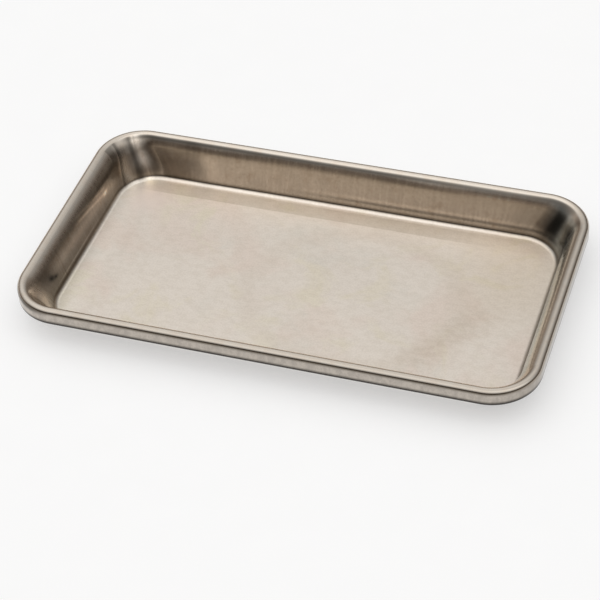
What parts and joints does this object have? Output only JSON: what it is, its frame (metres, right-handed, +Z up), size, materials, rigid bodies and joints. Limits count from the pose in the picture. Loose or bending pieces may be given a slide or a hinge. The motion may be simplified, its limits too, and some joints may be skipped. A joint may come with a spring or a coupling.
{
  "type": "pill counting tray",
  "caption": "Shallow rectangular stainless steel tray with rounded corners, leaning walls and a rolled rim, for counting and carrying tablets or small instruments.",
  "frame": {"origin": "middle of the flat underside, on the surface the tray stands on", "axes": "+X along the length, +Y along the width, +Z up out of the tray's open side"},
  "size_m": [0.225, 0.127, 0.019],
  "materials": {
    "stainless_sheet": "satin floor and walls with a brighter polished rim"
  },
  "bodies": {
    "root": {"tray_pan": "stainless_sheet"}
  },
  "joints": []
}
